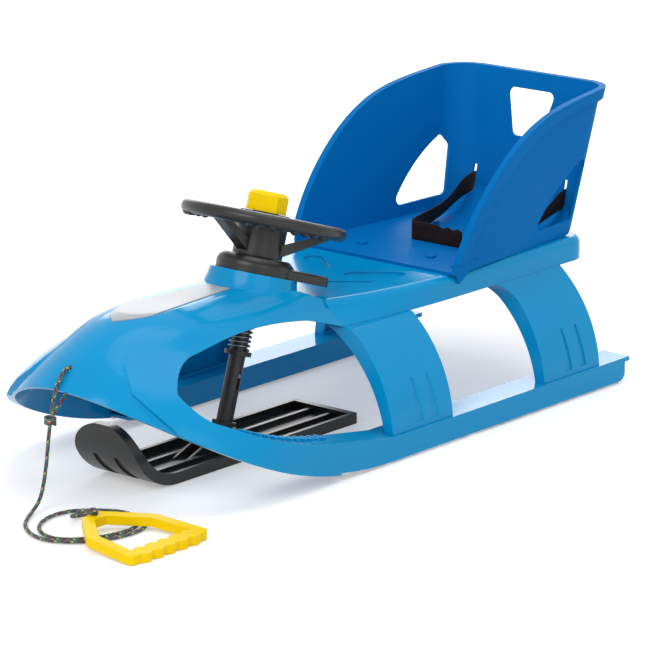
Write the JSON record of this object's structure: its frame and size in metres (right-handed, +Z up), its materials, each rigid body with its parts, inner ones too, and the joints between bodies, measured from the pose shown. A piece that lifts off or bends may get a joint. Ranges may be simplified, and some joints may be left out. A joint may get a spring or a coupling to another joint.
{
  "type": "steering sled",
  "caption": "Child's plastic sled with a hooded nose, runners, bucket seat, steering wheel turning a sprung front ski, and a tow rope with a pull handle.",
  "frame": {"origin": "on the ground under the middle of the sled's length and width, without the rope", "axes": "+Z up, nose towards -Y, +X to the right of someone who looks along +Y from the nose"},
  "size_m": [0.4489, 1.1035, 0.402],
  "materials": {
    "body_blue": "moulded semi-gloss",
    "seat_blue": "moulded satin",
    "black_plastic": "moulded matt",
    "yellow_plastic": "moulded semi-gloss",
    "black_metal": "black enamel",
    "spring_steel": "black oxide",
    "zinc_steel": "bright zinc",
    "silver_panel": "silver film",
    "bellows_rubber": "matt",
    "webbing": "woven",
    "rope_braid": "braided"
  },
  "bodies": {
    "sled": {"nose_hood": "body_blue", "deck": "body_blue", "left_front_leg": "body_blue", "right_front_leg": "body_blue", "left_rear_leg": "body_blue", "right_rear_leg": "body_blue", "left_runner": "body_blue", "right_runner": "body_blue", "seat_shell": "seat_blue", "seat_bolts": "seat_blue", "steering_base": "black_plastic", "steering_bush": "black_plastic", "pull_handle": "yellow_plastic", "left_runner_strip": "zinc_steel", "right_runner_strip": "zinc_steel", "strip_rivets": "zinc_steel", "base_screws": "zinc_steel", "seat_nuts": "zinc_steel", "nose_panel": "silver_panel", "left_belt_strap": "webbing", "right_belt_strap": "webbing", "belt_end": "webbing", "rope_loop": "rope_braid", "rope_knot": "rope_braid", "tow_rope": "rope_braid", "rope_return": "rope_braid", "rope_end": "rope_braid", "rope_tie": "rope_braid"},
    "steering": {"steering_wheel": "black_plastic", "steering_shaft": "black_metal", "wheel_nut": "zinc_steel", "column_pin": "zinc_steel", "horn_bezel": "black_plastic", "horn_bellows": "bellows_rubber"},
    "horn": {"horn_button": "yellow_plastic"},
    "ski": {"ski": "black_plastic", "column_tube": "black_metal", "spring_collar": "black_metal", "column_bolt": "zinc_steel", "coil_spring": "spring_steel"}
  },
  "joints": [
    {"name": "steering_turn", "type": "hinge", "parent": "sled", "child": "steering", "pos_m": [0, -0.1141, 0.25], "axis": [0, 0.3007, 0.9537], "range_deg": [-20, 20]},
    {"name": "ski_suspension", "type": "slide", "parent": "steering", "child": "ski", "axis": [0, 0.3007, 0.9537], "range_m": [0, 0.015], "stiffness_N_per_m": 1500, "springref_m": -0.02, "deforming": ["coil_spring"]},
    {"name": "horn_press", "type": "slide", "parent": "steering", "child": "horn", "axis": [0, -0.3007, -0.9537], "range_m": [0, 0.004], "stiffness_N_per_m": 500, "springref_m": -0.003, "deforming": ["horn_bellows"]}
  ]
}
